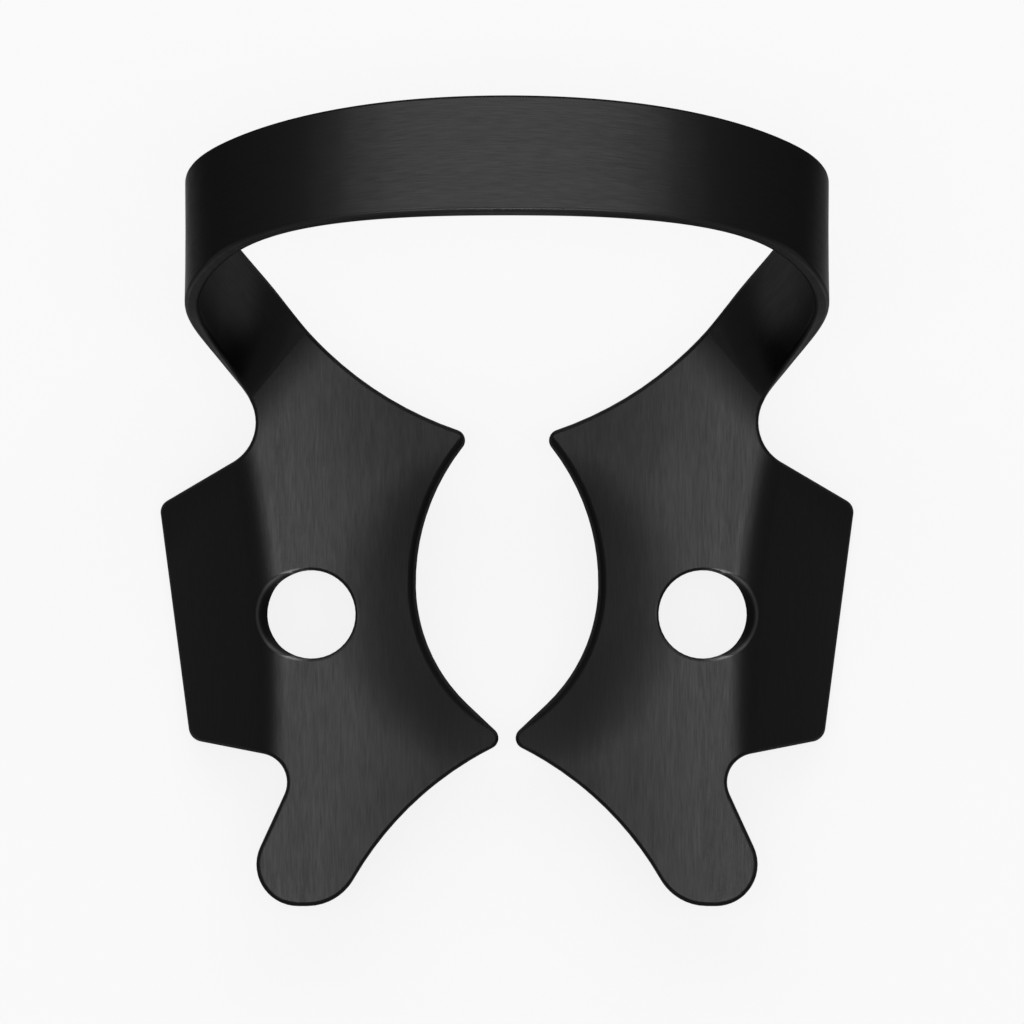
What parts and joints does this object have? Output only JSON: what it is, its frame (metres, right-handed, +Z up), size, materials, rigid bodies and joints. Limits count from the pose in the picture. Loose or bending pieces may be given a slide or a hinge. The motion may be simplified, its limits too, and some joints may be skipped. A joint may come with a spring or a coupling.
{
  "type": "rubber dam clamp",
  "caption": "Winged rubber dam clamp folded from spring sheet: a back-leaning bow joins mirrored jaws with gripping prongs, side wings, front lobes and round forceps holes.",
  "frame": {"origin": "centre of the tooth space between the jaws, level with their underside", "axes": "+Z up off the jaws, away from the gum; +Y back from the jaws to the bow; +X to the side, across the mirrored jaws"},
  "size_m": [0.0232, 0.027, 0.0155],
  "materials": {
    "black_coated_steel": "matte black coating over brushed spring steel"
  },
  "bodies": {
    "root": {"clamp": "black_coated_steel"}
  },
  "joints": []
}
